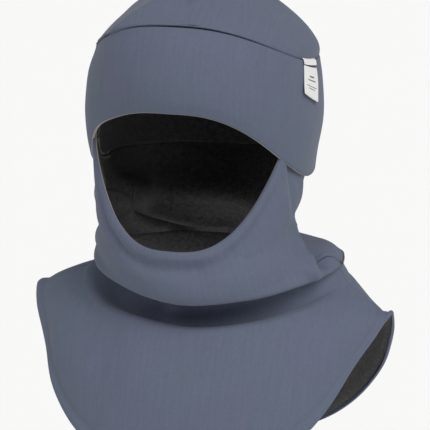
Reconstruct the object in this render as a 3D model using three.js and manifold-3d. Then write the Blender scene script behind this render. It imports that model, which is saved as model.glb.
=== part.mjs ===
// Winter balaclava: a darted crown with a turn-up cuff, a chin guard that
// bunches into a neck roll, and a front and a back bib that lie on the
// shoulders. Every panel is a softshell outer layer over a fleece lining.
//
// Millimetres. +Z is up, -Y is the wearer's front, +X the wearer's left.
// The origin is the point inside the crown that rests on top of the head.

import * as THREE from 'three';
import { mergeVertices } from 'three/addons/utils/BufferGeometryUtils.js';
import Module from 'manifold-3d';

const wasm = await Module();
wasm.setup();

// ---------------------------------------------------------------- cloth
const shellThickness = 1.4;
const liningThickness = 1.8;
const layerGap = 0.3;
const seamGap = 0.4;
// The hood turns in below the crown's rim, so its inner layers need more room.
const rimSeamGap = 1.6;

// ---------------------------------------------------------------- head
// Half sizes of the outside at the cuff's top edge.
const headFront = 87.5;
const headSide = 82;
const headBack = 85;
// From the crown's top down to the cuff's top edge.
const crownDropFront = 30;
const crownDropSide = 62.5;
const crownDropBack = 69.5;
// How far the head part sits towards the wearer's right.
const headShift = -2;

// ---------------------------------------------------------------- cuff
const cuffHeightFront = 56;
const cuffHeightSide = 82;
const cuffHeightBack = 81;
const cuffBulge = 12;
const cuffFoldGap = 2;
const crownTuckHeight = 1;
const cuffOverhang = 4;

// ---------------------------------------------------------------- face
// The face opening runs from the cuff down to the chin guard's rim.
const faceHeight = 97.5;
const faceHalfAngle = THREE.MathUtils.degToRad(59);
// How far the chin guard's rim stands outside the head's half sizes.
const chinRimFrontFlare = 7.5;
const chinRimSideFlare = 0.5;
const chinRimPower = 2.75;

// ---------------------------------------------------------------- neck
const neckRollHeight = 42;
const neckWallFront = 77;
const napeDepth = 15;
const napePinch = 23;
// How far the jaw and the neck roll stand outside the head's side.
const jawFlare = 4;
const rollFlare = 11;
const neckShift = 8;
const neckSideDrop = 66;

// ---------------------------------------------------------------- bibs
const creaseDrop = 17;
const bibLengthFront = 106;
const bibLengthBack = 154;
const bibFront = 112;
const bibBack = 112;
const shoulderHalf = 139;
const shoulderDrop = 35;
const bibShift = 3;
// The flaps bend along level lines below the shoulder points.
const flexDropFront = 27;
const flexDropBack = 30;

// ---------------------------------------------------------------- label
const labelWidth = 24;
const labelHeight = 23;
const labelThickness = 0.8;
const labelAngle = THREE.MathUtils.degToRad(77);
const labelFoldOutside = 2.2;
const labelFoldInside = 6;
const labelFoldClearance = 0.5;

// ---------------------------------------------------------------- facets
const crownColumns = 44;
const panelColumns = 22;

// ---------------------------------------------------------------- colours
const shellColour = 0x5f6779;
const liningColour = 0x2b2a2f;
const labelColour = 0xd6d3d1;

const shellMaterial = new THREE.MeshStandardMaterial({
  color: shellColour, roughness: 0.82, metalness: 0,
});
const liningMaterial = new THREE.MeshStandardMaterial({
  color: liningColour, roughness: 1, metalness: 0,
});
const labelMaterial = new THREE.MeshStandardMaterial({
  color: labelColour, roughness: 0.6, metalness: 0,
});

// ------------------------------------------------------------------ rings
// A ring goes round the wearer. It has its own reach and height at the
// front, the side and the back. Angle 0 is the front, +90 degrees the
// wearer's left. sweep says how long the ring stays near its front or back
// height before it runs to its side height, peak and peakBack how pointed
// the side is, pinch how far the cloth is drawn in behind the jaw, and shift moves the
// ring sideways.
function ring(front, side, back, frontZ, sideZ, backZ, extra = {}) {
  const plain = { sweep: 1, peak: 2, peakBack: 2, pinch: 0, shift: 0 };
  return { front, side, back, frontZ, sideZ, backZ, ...plain, ...extra };
}

const pinchCentre = THREE.MathUtils.degToRad(100);
const pinchSpread = THREE.MathUtils.degToRad(32);

function ringPoint(values, angle) {
  const c = Math.cos(angle);
  const s = Math.sin(angle);
  const turned = Math.abs(Math.atan2(s, c));
  const reach = c >= 0 ? values.front : values.back;
  const endZ = c >= 0 ? values.frontZ : values.backZ;
  const peak = c >= 0 ? values.peak : values.peakBack;
  const fall = Math.pow(1 - Math.pow(Math.abs(c), peak), values.sweep);
  const drawn = values.pinch * Math.exp(-(((turned - pinchCentre) / pinchSpread) ** 2));
  const x = (values.side - drawn) * s + values.shift;
  return new THREE.Vector3(x, -reach * c, endZ + (values.sideZ - endZ) * fall);
}

// A smooth surface through rows of points. pointOf(row, angle) gives the
// point of a whole row, and t may lie between rows or a little outside them.
function loft(pointOf, lastRow) {
  return (angle, t) => {
    const i = Math.min(Math.max(Math.floor(t), 0), lastRow - 1);
    const f = t - i;
    const b = pointOf(i, angle);
    const c = pointOf(i + 1, angle);
    const a = i > 0 ? pointOf(i - 1, angle) : b.clone().multiplyScalar(2).sub(c);
    const d = i + 2 <= lastRow ? pointOf(i + 2, angle) : c.clone().multiplyScalar(2).sub(b);
    const point = new THREE.Vector3();
    point.addScaledVector(a, 0.5 * (-f + 2 * f ** 2 - f ** 3));
    point.addScaledVector(b, 0.5 * (2 - 5 * f ** 2 + 3 * f ** 3));
    point.addScaledVector(c, 0.5 * (f + 4 * f ** 2 - 3 * f ** 3));
    point.addScaledVector(d, 0.5 * (-(f ** 2) + f ** 3));
    return point;
  };
}

// ---------------------------------------------------------------- heights
const layerStack = shellThickness + layerGap + liningThickness;
const crownTopZ = layerStack;
const cuffTopZ = {
  front: crownTopZ - crownDropFront,
  side: crownTopZ - crownDropSide,
  back: crownTopZ - crownDropBack,
};
const cuffBottomZ = {
  front: cuffTopZ.front - cuffHeightFront,
  side: cuffTopZ.side - cuffHeightSide,
  back: cuffTopZ.back - cuffHeightBack,
};
const crownRimZ = {
  front: cuffBottomZ.front + cuffOverhang,
  side: cuffBottomZ.side + cuffOverhang,
  back: cuffBottomZ.back + cuffOverhang,
};
const chinRimFront = headFront + chinRimFrontFlare;
const chinRimSide = headSide + chinRimSideFlare;
const napeBack = headBack - napeDepth;
const jawSide = headSide + jawFlare;
const rollSide = headSide + rollFlare;
const chinRimZ = cuffBottomZ.front - faceHeight;
const rollBottomZ = chinRimZ - neckRollHeight;
const rollSideZ = cuffBottomZ.side - neckSideDrop;
const creaseZ = rollBottomZ - creaseDrop;
const shoulderZ = rollSideZ - shoulderDrop;
const hemFrontZ = creaseZ - bibLengthFront;
const creaseBackZ = rollSideZ - 30;
const hemBackZ = creaseBackZ - bibLengthBack;
const flexFrontZ = creaseZ - flexDropFront;
const flexBackZ = creaseBackZ - flexDropBack;

// ---------------------------------------------------------------- surfaces
const rimSweep = 1.38;

const cuffRings = [
  ring(headFront, headSide, headBack,
    cuffTopZ.front, cuffTopZ.side, cuffTopZ.back,
    { sweep: 1.22, shift: headShift }),
  ring(headFront + 0.6 * cuffBulge, headSide + 0.33 * cuffBulge, headBack + 0.6 * cuffBulge,
    cuffTopZ.front - 0.24 * cuffHeightFront,
    cuffTopZ.side - 0.2 * cuffHeightSide,
    cuffTopZ.back - 0.2 * cuffHeightBack,
    { sweep: 1.25, shift: headShift }),
  ring(headFront + cuffBulge, headSide + 0.44 * cuffBulge, headBack + 0.85 * cuffBulge,
    cuffTopZ.front - 0.56 * cuffHeightFront,
    cuffTopZ.side - 0.52 * cuffHeightSide,
    cuffTopZ.back - 0.52 * cuffHeightBack,
    { sweep: 1.3, shift: headShift }),
  ring(headFront + 1.05 * cuffBulge, headSide + 0.25 * cuffBulge, headBack + 0.88 * cuffBulge,
    cuffTopZ.front - 0.83 * cuffHeightFront,
    cuffTopZ.side - 0.82 * cuffHeightSide,
    cuffTopZ.back - 0.82 * cuffHeightBack,
    { sweep: 1.35, shift: headShift }),
  ring(headFront + 0.83 * cuffBulge, headSide + 0.06 * cuffBulge, headBack + 0.75 * cuffBulge,
    cuffBottomZ.front, cuffBottomZ.side, cuffBottomZ.back,
    { sweep: rimSweep, shift: headShift }),
];

// The crown passes inside the cuff with both cuff layers and the fold gap
// between them.
const cuffStack = layerStack + cuffFoldGap;

function insideCuff(cuffRing, z) {
  return ring(cuffRing.front - cuffStack, cuffRing.side - cuffStack, cuffRing.back - cuffStack,
    z.front, z.side, z.back, { sweep: cuffRing.sweep, shift: headShift });
}

const crownRim = insideCuff(cuffRings[4], crownRimZ);

const crownRings = [
  ring(0, 0, 0, crownTopZ, crownTopZ, crownTopZ, { sweep: 1.1, shift: headShift }),
  ring(0.34 * headFront, 0.36 * headSide, 0.36 * headBack,
    crownTopZ - 0.18 * crownDropFront,
    crownTopZ - 0.13 * crownDropSide,
    crownTopZ - 0.11 * crownDropBack,
    { sweep: 1.1, shift: headShift }),
  ring(0.64 * headFront, 0.66 * headSide, 0.66 * headBack,
    crownTopZ - 0.45 * crownDropFront,
    crownTopZ - 0.4 * crownDropSide,
    crownTopZ - 0.34 * crownDropBack,
    { sweep: 1.1, shift: headShift }),
  ring(0.8 * headFront, 0.87 * headSide, 0.86 * headBack,
    crownTopZ - 0.66 * crownDropFront,
    crownTopZ - 0.63 * crownDropSide,
    crownTopZ - 0.57 * crownDropBack,
    { sweep: 1.15, shift: headShift }),
  ring(0.9 * headFront, 0.985 * headSide, 0.97 * headBack,
    crownTopZ - 0.82 * crownDropFront,
    crownTopZ - 0.83 * crownDropSide,
    crownTopZ - 0.77 * crownDropBack,
    { sweep: 1.2, shift: headShift }),
  insideCuff(cuffRings[0], {
    front: cuffTopZ.front + crownTuckHeight,
    side: cuffTopZ.side + crownTuckHeight,
    back: cuffTopZ.back + crownTuckHeight,
  }),
  insideCuff(cuffRings[1], {
    front: cuffTopZ.front - 0.24 * cuffHeightFront,
    side: cuffTopZ.side - 0.2 * cuffHeightSide,
    back: cuffTopZ.back - 0.2 * cuffHeightBack,
  }),
  insideCuff(cuffRings[2], {
    front: cuffTopZ.front - 0.56 * cuffHeightFront,
    side: cuffTopZ.side - 0.52 * cuffHeightSide,
    back: cuffTopZ.back - 0.52 * cuffHeightBack,
  }),
  crownRim,
];

// Rows 0 to 5 are the hood below the crown, down to the neck roll's lower
// edge. Rows 5 to 8 are the neck wall behind the roll and rows 8 to 11 the
// bib down to its hem.
const rollRow = 5;
const hemRow = 11;
const hoodRings = [
  crownRim,
  ring(chinRimFront + 0.5, jawSide, 0.45 * crownRim.back + 0.55 * napeBack,
    chinRimZ - 7, crownRimZ.side - 18, crownRimZ.back - 18,
    { pinch: 0.6 * napePinch, shift: headShift + 1 }),
  ring(chinRimFront + 1.5, jawSide, napeBack,
    chinRimZ - 14, crownRimZ.side - 36, crownRimZ.back - 36,
    { pinch: napePinch, shift: headShift + 3 }),
  ring(chinRimFront + 2, 0.6 * jawSide + 0.4 * rollSide, napeBack + 6,
    chinRimZ - 22, rollSideZ + 18, rollSideZ + 18,
    { pinch: 0.35 * napePinch, shift: 0.5 * neckShift }),
  ring(chinRimFront, rollSide - 4, napeBack + 16,
    chinRimZ - 33, rollSideZ + 8, rollSideZ + 6,
    { shift: 0.75 * neckShift }),
  ring(neckWallFront + 10, rollSide, napeBack + 22,
    rollBottomZ, rollSideZ, rollSideZ - 6,
    { sweep: 0.85, shift: neckShift }),
  ring(neckWallFront + 1.5, rollSide + 1, napeBack + 21,
    rollBottomZ - 4, rollSideZ - 5, rollSideZ - 14,
    { sweep: 0.85, shift: neckShift }),
  ring(neckWallFront, rollSide + 3, napeBack + 21,
    creaseZ + 4.5, rollSideZ - 10, rollSideZ - 22,
    { sweep: 0.85, shift: neckShift }),
  ring(neckWallFront + 6, rollSide + 9, napeBack + 23,
    creaseZ, rollSideZ - 15, creaseBackZ,
    { sweep: 0.86, shift: 0.9 * neckShift }),
  ring(neckWallFront + 15, 0.45 * rollSide + 0.55 * shoulderHalf, bibBack - 14,
    creaseZ - 0.22 * bibLengthFront,
    0.3 * rollSideZ + 0.7 * shoulderZ,
    creaseBackZ - 0.2 * bibLengthBack,
    { sweep: 0.9, peak: 1.9, peakBack: 1.8, shift: 0.7 * neckShift }),
  ring(bibFront - 8, 0.18 * rollSide + 0.82 * shoulderHalf, bibBack - 7,
    creaseZ - 0.57 * bibLengthFront,
    0.1 * rollSideZ + 0.9 * shoulderZ,
    creaseBackZ - 0.57 * bibLengthBack,
    { sweep: 0.95, peak: 1.7, peakBack: 1.5, shift: bibShift + 1 }),
  ring(bibFront, shoulderHalf, bibBack,
    hemFrontZ, shoulderZ, hemBackZ,
    { sweep: 1, peak: 1.5, peakBack: 1.2, shift: bibShift }),
];

const crownSurface = loft((row, angle) => ringPoint(crownRings[row], angle),
  crownRings.length - 1);
const cuffSurface = loft((row, angle) => ringPoint(cuffRings[row], angle),
  cuffRings.length - 1);

// The chin guard's rim is a U: it starts behind the cuff at the face
// opening's corners and dips to the chin.
function chinRimPoint(angle) {
  const corner = Math.sin(faceHalfAngle);
  const cornerZ = ringPoint(crownRim, faceHalfAngle).z;
  const rise = Math.pow(Math.abs(Math.sin(angle)) / corner, chinRimPower);
  return new THREE.Vector3(
    chinRimSide * Math.sin(angle) + headShift,
    -chinRimFront * Math.cos(angle),
    chinRimZ + (cornerZ - chinRimZ) * rise,
  );
}

// Between the face opening's corners the hood's first row follows the chin
// rim, and everywhere else the crown's rim.
function hoodRowPoint(row, angle) {
  const overFace = Math.cos(angle) > 0 && Math.abs(angle) < faceHalfAngle;
  if (row === 0 && overFace) {
    return chinRimPoint(angle);
  }
  return ringPoint(hoodRings[row], angle);
}

const hoodSurface = loft(hoodRowPoint, hemRow);

// ------------------------------------------------------------ closed cloth
function slope(surface, angle, t, stepAngle, stepT) {
  const ahead = surface(angle + stepAngle, t + stepT);
  const behind = surface(angle - stepAngle, t - stepT);
  return ahead.sub(behind).divideScalar(2 * (stepAngle + stepT));
}

// The wide step round the ring gives the front and the back panel the same
// normal where they meet at the side seam.
function outward(surface, angle, t) {
  const around = slope(surface, angle, t, 0.05, 0);
  const down = slope(surface, angle, t, 0, 0.01);
  const normal = down.cross(around);
  if (normal.length() < 1e-6) {
    return new THREE.Vector3(0, 0, 1);
  }
  return normal.normalize();
}

// A sheet from surface offset near to offset far, between two angles and
// two row functions. Offsets are measured outward along the normal.
function sheetMesh(surface, area, near, far) {
  const { from, to, top, bottom, columns, rows, closed = false, pole = false } = area;
  const points = [];
  const index = [];
  const lineCount = closed ? columns : columns + 1;
  const at = (side, row, column) => (side * (rows.length) + row) * lineCount + column % lineCount;
  for (const offset of [far, near]) {
    for (const share of rows) {
      for (let column = 0; column < lineCount; column += 1) {
        const angle = from + (to - from) * column / columns;
        const t = top(angle) + (bottom(angle) - top(angle)) * share;
        const onPole = pole && share === 0;
        const point = surface(onPole ? 0 : angle, t);
        const normal = onPole ? new THREE.Vector3(0, 0, 1) : outward(surface, angle, t);
        points.push(...point.addScaledVector(normal, offset).toArray());
      }
    }
  }
  const quad = (a, b, c, d) => index.push(a, b, c, a, c, d);
  const lastRow = rows.length - 1;
  for (let row = 0; row < lastRow; row += 1) {
    for (let column = 0; column < columns; column += 1) {
      const next = column + 1;
      quad(at(0, row, column), at(0, row + 1, column), at(0, row + 1, next), at(0, row, next));
      quad(at(1, row, column), at(1, row, next), at(1, row + 1, next), at(1, row + 1, column));
    }
  }
  for (let column = 0; column < columns; column += 1) {
    const next = column + 1;
    if (!pole) {
      quad(at(0, 0, column), at(0, 0, next), at(1, 0, next), at(1, 0, column));
    }
    quad(at(0, lastRow, column), at(1, lastRow, column), at(1, lastRow, next), at(0, lastRow, next));
  }
  for (let row = 0; row < lastRow && !closed; row += 1) {
    const below = row + 1;
    quad(at(0, row, 0), at(1, row, 0), at(1, below, 0), at(0, below, 0));
    quad(at(0, row, columns), at(0, below, columns), at(1, below, columns), at(1, row, columns));
  }
  const geometry = new THREE.BufferGeometry();
  geometry.setAttribute('position', new THREE.Float32BufferAttribute(points, 3));
  geometry.setIndex(index);
  return dropFlatFaces(mergeVertices(geometry, 1e-4));
}

// Faces that a pole has squeezed to nothing are left out.
function dropFlatFaces(geometry) {
  const source = geometry.getIndex().array;
  const kept = [];
  for (let i = 0; i < source.length; i += 3) {
    const [a, b, c] = [source[i], source[i + 1], source[i + 2]];
    if (a !== b && b !== c && c !== a) {
      kept.push(a, b, c);
    }
  }
  geometry.setIndex(kept);
  return geometry;
}

function toSolid(geometry) {
  return new wasm.Manifold(new wasm.Mesh({
    numProp: 3,
    vertProperties: new Float32Array(geometry.getAttribute('position').array),
    triVerts: new Uint32Array(geometry.getIndex().array),
  }));
}

function fromSolid(solid) {
  const mesh = solid.getMesh();
  const geometry = new THREE.BufferGeometry();
  geometry.setAttribute('position', new THREE.Float32BufferAttribute(mesh.vertProperties, 3));
  geometry.setIndex(new THREE.Uint32BufferAttribute(mesh.triVerts, 1));
  return geometry;
}

// The part of a solid between two levels.
function betweenLevels(geometry, lowZ, highZ) {
  const reach = 4 * (shoulderHalf + bibFront + bibBack);
  const slab = new THREE.BoxGeometry(reach, reach, highZ - lowZ);
  slab.translate(0, 0, (highZ + lowZ) / 2);
  slab.deleteAttribute('normal');
  slab.deleteAttribute('uv');
  return fromSolid(toSolid(geometry).intersect(toSolid(mergeVertices(slab))));
}

const evenly = (count) => Array.from({ length: count + 1 }, (_, i) => i / count);

// Row positions a small distance past a row, so that two panels sewn
// edge to edge keep the seam gap between them.
function beside(surface, row, distance) {
  return (angle) => {
    const step = slope(surface, angle, row, 0, 0.01).length();
    return row + distance / step;
  };
}

const sideSeam = Math.PI / 2;
const sideGapAngle = 0.5 * seamGap / headFront;

function addPart(group, name, geometry, material) {
  const mesh = new THREE.Mesh(geometry, material);
  mesh.name = name;
  group.add(mesh);
}

// Adds the outer layer and the lining of one panel.
function addLayers(group, name, build) {
  const shellInside = -shellThickness;
  const liningOutside = shellInside - layerGap;
  const liningInside = liningOutside - liningThickness;
  addPart(group, `${name}_shell`, build(shellInside, 0), shellMaterial);
  addPart(group, `${name}_lining`, build(liningInside, liningOutside), liningMaterial);
}

// ---------------------------------------------------------------- panels
function addCrown(group) {
  const lastRow = crownRings.length - 1;
  const area = {
    from: -Math.PI, to: Math.PI, closed: true, pole: true, columns: crownColumns,
    top: () => 0, bottom: beside(crownSurface, lastRow, -0.5 * seamGap),
    rows: [0, 1, 2, 3, 3.5, 4, 4.5, 5, 6, 7, 8].map((row) => row / lastRow),
  };
  addLayers(group, 'crown', (near, far) => sheetMesh(crownSurface, area, near, far));
}

function addCuff(group) {
  const area = {
    from: -Math.PI, to: Math.PI, closed: true, columns: crownColumns,
    top: () => 0, bottom: () => cuffRings.length - 1, rows: evenly(4),
  };
  addLayers(group, 'cuff', (near, far) => sheetMesh(cuffSurface, area, near, far));
}

const frontSpan = { from: -sideSeam + sideGapAngle, to: sideSeam - sideGapAngle };
const backSpan = { from: sideSeam + sideGapAngle, to: 3 * sideSeam - sideGapAngle };

// The hood's upper panels, from the crown's rim to the neck roll's edge.
function addHoodPanel(group, name, span) {
  const area = {
    ...span, columns: panelColumns,
    top: beside(hoodSurface, 0, rimSeamGap),
    bottom: beside(hoodSurface, rollRow, -0.5 * seamGap),
    rows: [0, 0.1, 0.2, 0.3, 0.4, 0.5, 0.6, 0.7, 0.8, 0.9, 1],
  };
  addLayers(group, name, (near, far) => sheetMesh(hoodSurface, area, near, far));
}

// The yoke and the bib are one length of cloth that bends at the flex level.
function addYokeAndBib(group, name, span, flexZ) {
  const area = {
    ...span, columns: panelColumns,
    top: beside(hoodSurface, rollRow, 0.5 * seamGap), bottom: () => hemRow,
    rows: [0, 0.08, 1 / 6, 0.25, 1 / 3, 0.42, 0.5, 4 / 6, 5 / 6, 1],
  };
  const highZ = flexZ + 0.5 * seamGap;
  const lowZ = flexZ - 0.5 * seamGap;
  const above = (near, far) => betweenLevels(sheetMesh(hoodSurface, area, near, far), highZ, 0);
  const below = (near, far) => betweenLevels(
    sheetMesh(hoodSurface, area, near, far), 2 * hemBackZ, lowZ);
  addLayers(group, `${name}_yoke`, above);
  addLayers(group, `${name}_bib`, below);
}

// ---------------------------------------------------------------- label
// The label hangs outside the cuff. Its stitched end goes over the cuff's
// top edge into the fold.
const labelHalfAngle = 0.5 * labelWidth / headFront;
const labelSpan = { from: labelAngle - labelHalfAngle, to: labelAngle + labelHalfAngle };
const labelColumns = 6;

// The cuff's row at a distance down its outside from the top edge.
function cuffRowAt(distance) {
  const step = 0.01;
  return (angle) => {
    let row = 0;
    let walked = 0;
    while (walked < distance) {
      walked += cuffSurface(angle, row).distanceTo(cuffSurface(angle, row + step));
      row += step;
    }
    return row;
  };
}

function addLabelTab(group) {
  const area = {
    ...labelSpan, columns: labelColumns, rows: evenly(5),
    top: cuffRowAt(labelFoldOutside + layerGap),
    bottom: cuffRowAt(labelFoldOutside + layerGap + labelHeight),
  };
  const geometry = sheetMesh(cuffSurface, area, layerGap, layerGap + labelThickness);
  addPart(group, 'label_tab', geometry, labelMaterial);
}

// Cross-section of the stitched end, as distances down from the cuff's top
// edge and outward from the cuff's outer face.
function labelFoldProfile() {
  const outside = labelFoldClearance + labelThickness;
  const inside = -layerStack - labelFoldClearance - labelThickness;
  const over = -labelFoldClearance - labelThickness;
  return [
    [labelFoldOutside, labelFoldClearance], [labelFoldOutside, outside], [over, outside],
    [over, inside], [labelFoldInside, inside], [labelFoldInside, inside + labelThickness],
    [-labelFoldClearance, inside + labelThickness], [-labelFoldClearance, labelFoldClearance],
  ];
}

function addLabelFold(group) {
  const profile = labelFoldProfile();
  const points = [];
  for (let column = 0; column <= labelColumns; column += 1) {
    const share = column / labelColumns;
    const angle = labelSpan.from + (labelSpan.to - labelSpan.from) * share;
    const edge = cuffSurface(angle, 0);
    const normal = outward(cuffSurface, angle, 0);
    const down = slope(cuffSurface, angle, 0, 0, 0.01).normalize();
    for (const [fall, out] of profile) {
      const point = edge.clone().addScaledVector(down, fall).addScaledVector(normal, out);
      points.push(...point.toArray());
    }
  }
  const count = profile.length;
  const index = [];
  for (let column = 0; column < labelColumns; column += 1) {
    for (let k = 0; k < count; k += 1) {
      const a = column * count + k;
      const b = column * count + (k + 1) % count;
      index.push(a, b + count, b, a, a + count, b + count);
    }
  }
  const outline = profile.map(([fall, out]) => new THREE.Vector2(fall, out));
  const lastStart = labelColumns * count;
  for (const [a, b, c] of THREE.ShapeUtils.triangulateShape(outline, [])) {
    index.push(a, b, c);
    index.push(lastStart + a, lastStart + c, lastStart + b);
  }
  const geometry = new THREE.BufferGeometry();
  geometry.setAttribute('position', new THREE.Float32BufferAttribute(points, 3));
  geometry.setIndex(index);
  addPart(group, 'label_fold', geometry, labelMaterial);
}

const balaclava = new THREE.Group();
addCrown(balaclava);
addCuff(balaclava);
addLabelTab(balaclava);
addLabelFold(balaclava);
addHoodPanel(balaclava, 'chin_guard', frontSpan);
addHoodPanel(balaclava, 'hood_back', backSpan);
addYokeAndBib(balaclava, 'front', frontSpan, flexFrontZ);
addYokeAndBib(balaclava, 'back', backSpan, flexBackZ);

export default balaclava;
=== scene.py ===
"""A winter balaclava sewn from softshell over fleece, on a plain pale studio floor.

Metres. +Z is up, -Y is the wearer's front and +X the wearer's left. Angle 0 goes
round the wearer from the front, and +90 degrees is the wearer's left.
"""

import math

import bpy
import numpy as np
from bpy.props import FloatProperty, FloatVectorProperty, IntProperty, PointerProperty
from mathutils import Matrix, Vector, noise


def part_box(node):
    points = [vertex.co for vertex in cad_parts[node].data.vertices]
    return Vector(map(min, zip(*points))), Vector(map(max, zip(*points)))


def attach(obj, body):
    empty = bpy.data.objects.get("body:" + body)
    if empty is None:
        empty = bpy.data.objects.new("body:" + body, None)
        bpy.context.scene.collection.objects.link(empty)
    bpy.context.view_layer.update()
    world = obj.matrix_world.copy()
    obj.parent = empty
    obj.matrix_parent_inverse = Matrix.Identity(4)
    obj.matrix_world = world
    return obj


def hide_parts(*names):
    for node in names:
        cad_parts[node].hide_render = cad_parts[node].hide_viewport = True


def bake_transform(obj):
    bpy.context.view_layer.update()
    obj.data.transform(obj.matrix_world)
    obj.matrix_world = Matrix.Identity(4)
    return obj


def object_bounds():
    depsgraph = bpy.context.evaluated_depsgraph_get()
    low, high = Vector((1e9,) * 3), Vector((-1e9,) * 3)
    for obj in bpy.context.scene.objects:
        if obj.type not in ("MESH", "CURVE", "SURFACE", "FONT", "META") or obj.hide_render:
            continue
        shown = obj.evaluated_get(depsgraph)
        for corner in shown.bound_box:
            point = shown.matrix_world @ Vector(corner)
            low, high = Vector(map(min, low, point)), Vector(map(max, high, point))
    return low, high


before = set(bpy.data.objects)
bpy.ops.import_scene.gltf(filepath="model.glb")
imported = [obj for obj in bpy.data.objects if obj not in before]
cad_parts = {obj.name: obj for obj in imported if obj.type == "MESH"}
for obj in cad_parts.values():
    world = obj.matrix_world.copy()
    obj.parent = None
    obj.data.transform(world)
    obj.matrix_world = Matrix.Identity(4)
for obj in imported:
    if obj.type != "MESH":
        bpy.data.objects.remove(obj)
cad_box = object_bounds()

bl_info = {
    "name": "Balaclava",
    "version": (1, 0, 0),
    "blender": (4, 5, 0),
    "location": "View3D > Sidebar > Balaclava",
    "description": "Sews the crown, cuff, chin guard, hood, bibs and label of a balaclava",
    "category": "Add Mesh",
}

CROWN_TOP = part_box("crown_shell")[1].z
HEM_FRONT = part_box("front_bib_shell")[0].z
HEM_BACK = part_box("back_bib_shell")[0].z


def length(label, text, default):
    """A property that holds a length in metres."""
    return FloatProperty(name=label, description=text, default=default, precision=5, unit="LENGTH")


def angle(label, text, degrees):
    """A property that holds an angle."""
    return FloatProperty(name=label, description=text, default=math.radians(degrees), unit="ROTATION")


def colour(label, text, default):
    """A property that holds a linear colour."""
    return FloatVectorProperty(name=label, description=text, default=default, subtype="COLOR",
                               size=3, min=0, max=1)


# ------------------------------------------------------------------ settings
class BalaclavaHead(bpy.types.PropertyGroup):
    """Sizes of the crown, measured at the cuff's top edge"""
    front: length("Front", "From the head's axis to the front", 0.0875)
    side: length("Side", "From the head's axis to each side", 0.082)
    back: length("Back", "From the head's axis to the back", 0.085)
    drop_front: length("Front drop", "From the crown's top to the cuff at the front", 0.030)
    drop_side: length("Side drop", "From the crown's top to the cuff at the side", 0.0625)
    drop_back: length("Back drop", "From the crown's top to the cuff at the back", 0.0695)
    shift: length("Shift", "How far the head leans sideways", -0.002)
    dart_length: length("Dart length", "Length of each dart from the crown's top", 0.0725)
    dart_depth: length("Dart depth", "How deep a dart's seam lies", 0.0024)
    dart_turn: angle("Dart turn", "How far the darts are turned from straight ahead", 3.7)


class BalaclavaCuff(bpy.types.PropertyGroup):
    """Sizes of the turned-up cuff"""
    height_front: length("Front height", "Height of the cuff at the front", 0.056)
    height_side: length("Side height", "Height of the cuff at the side", 0.082)
    height_back: length("Back height", "Height of the cuff at the back", 0.081)
    bulge: length("Bulge", "How far the cuff stands out at its middle", 0.012)
    fold_gap: length("Fold gap", "Air between the cuff and the crown", 0.0004)
    overhang: length("Overhang", "How far the cuff hangs below the crown's rim", 0.004)


class BalaclavaNeck(bpy.types.PropertyGroup):
    """Sizes of the face opening, the chin guard and the neck"""
    face_height: length("Face height", "From the cuff down to the chin guard's rim", 0.1005)
    face_angle: angle("Face angle", "Half the face opening's angle round the head", 59)
    rim_front: length("Rim front", "From the axis to the chin guard's rim", 0.095)
    rim_side: length("Rim side", "Half width of the chin guard's rim", 0.0825)
    roll_height: length("Roll height", "From the chin guard's rim to the neck roll's lower edge", 0.039)
    wall_front: length("Neck wall", "From the axis to the hollow's wall at the front", 0.057)
    nape: length("Nape", "From the axis to the nape", 0.070)
    jaw: length("Jaw", "Half width at the jaw", 0.086)
    pinch: length("Pinch", "How far the cloth is drawn in behind the jaw", 0.023)
    roll_side: length("Roll side", "Half width of the neck roll", 0.093)
    shift: length("Shift", "How far the neck roll leans sideways", 0.008)
    side_drop: length("Side drop", "From the cuff's side down to the neck roll's side", 0.066)


class BalaclavaBib(bpy.types.PropertyGroup):
    """Sizes of the two bibs"""
    crease_drop: length("Crease drop", "From the neck roll down to the bib's crease", 0.017)
    front: length("Front", "From the axis to the front hem", 0.112)
    back: length("Back", "From the axis to the back hem", 0.112)
    shoulder: length("Shoulder", "From the axis to each shoulder point", 0.1395)
    shoulder_drop: length("Shoulder drop", "From the neck roll's side to the shoulder point", 0.034)
    shift: length("Shift", "How far the bibs sit sideways", 0.003)
    bend: length("Bend", "Height of the band in which a bib bends", 0.045)


class BalaclavaLabel(bpy.types.PropertyGroup):
    """Sizes of the sewn-in label"""
    width: length("Width", "Width of the label", 0.0205)
    height: length("Height", "Length of the label below the fold", 0.0205)
    thickness: length("Thickness", "Thickness of the woven tape", 0.0005)
    fold: length("Fold", "How far the stitched end comes down outside the cuff", 0.0025)
    lean: length("Lean", "How far the label's free end hangs to one side", -0.0058)
    slant: length("Slant", "How much lower the label's rear side hangs", 0.0035)
    turn: angle("Place", "Where the label sits round the cuff", 78.5)


class BalaclavaCloth(bpy.types.PropertyGroup):
    """Sizes of the two bonded layers and how fine their meshes are"""
    shell: length("Softshell", "Thickness of the outer layer", 0.0010)
    fleece: length("Fleece", "Thickness of the lining", 0.0018)
    stack: length("Stack", "Outer layer and lining together", 0.0033)
    seam_depth: length("Seam depth", "How deep a sewn seam lies", 0.0011)
    columns: IntProperty(name="Columns", description="Columns round a whole ring", default=360, min=24)
    row_step: length("Row step", "Height of one mesh row", 0.0017)


class BalaclavaColours(bpy.types.PropertyGroup):
    """Colours of the cloths, the label and the studio"""
    shell: colour("Softshell", "Main colour of the outer layer", (0.105, 0.117, 0.172))
    shell_cool: colour("Softshell cool", "Colour of its cloudy patches", (0.100, 0.121, 0.168))
    fleece_dark: colour("Fleece dark", "Dark fibres of the lining", (0.015, 0.015, 0.017))
    fleece_light: colour("Fleece light", "Light fibres of the lining", (0.080, 0.076, 0.077))
    # The lining's cut edge, painted much paler than the fleece as a highlight where its pile catches
    # the light.
    fleece_edge_highlight: colour("Fleece edge", "Cut edge of the lining", (0.36, 0.33, 0.30))
    label: colour("Label", "The woven label", (0.80, 0.80, 0.79))
    label_mark: colour("Label mark", "The bars woven into the label", (0.09, 0.08, 0.08))
    floor: colour("Floor", "The studio floor", (0.97, 0.97, 0.97))


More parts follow.
